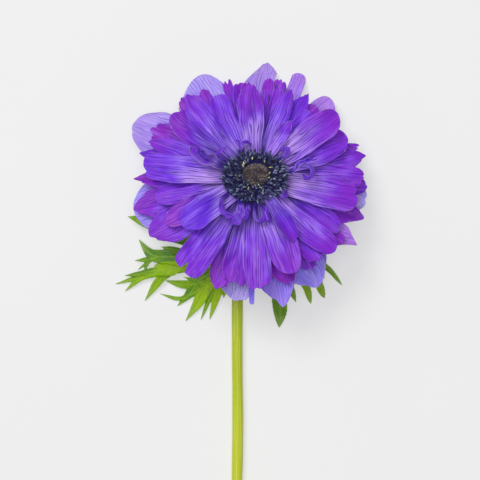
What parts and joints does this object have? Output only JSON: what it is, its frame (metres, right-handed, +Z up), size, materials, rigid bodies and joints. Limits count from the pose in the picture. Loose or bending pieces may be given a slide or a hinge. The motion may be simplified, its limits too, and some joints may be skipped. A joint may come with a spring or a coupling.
{
  "type": "anemone flower",
  "caption": "Semi-double violet anemone flower cut with its stem, lying on its back with the open face up and a whorl of green leaves below it.",
  "frame": {"origin": "middle of the flower's box, on the surface it lies on", "axes": "+Z up, the face of the flower looks up along it; +Y along the stem from its cut end to the head; +X to the right of the face"},
  "size_m": [0.1104, 0.257, 0.0427],
  "materials": {
    "petal": "soft satin, veined, paler at the foot and magenta at the tip",
    "sepal": "soft satin, pale lavender with fine veins",
    "leaf": "satin green leaf",
    "stem": "satin yellow-green, finely haired",
    "pistil": "matt, woolly dark brown",
    "stamen": "matt, dark blue-grey pollen"
  },
  "bodies": {
    "root": {"petal_01": "petal", "petal_02": "petal", "petal_03": "petal", "petal_04": "petal", "petal_05": "petal", "petal_06": "petal", "petal_07": "petal", "petal_08": "petal", "petal_09": "petal", "petal_10": "petal", "petal_11": "petal", "petal_12": "petal", "petal_13": "petal", "petal_14": "petal", "petal_15": "petal", "petal_16": "petal", "petal_17": "petal", "petal_18": "petal", "petal_19": "petal", "petal_20": "petal", "petal_21": "petal", "petal_22": "petal", "petal_23": "petal", "petal_24": "petal", "petal_25": "petal", "petal_26": "petal", "petal_27": "petal", "petal_28": "petal", "petal_29": "petal", "petal_30": "petal", "petal_31": "petal", "petal_32": "petal", "petal_33": "petal", "petal_34": "petal", "petal_35": "petal", "petal_36": "petal", "petal_37": "petal", "petal_38": "petal", "petal_39": "petal", "petal_40": "petal", "sepal_01": "sepal", "sepal_02": "sepal", "sepal_03": "sepal", "sepal_04": "sepal", "sepal_05": "sepal", "sepal_06": "sepal", "sepal_07": "sepal", "sepal_08": "sepal", "sepal_09": "sepal", "sepal_10": "sepal", "sepal_11": "sepal", "sepal_12": "sepal", "leaf_left": "leaf", "leaf_lower": "leaf", "leaf_right": "leaf", "stem": "stem", "pistil_dome": "pistil", "stamen_ring": "stamen"}
  },
  "joints": []
}
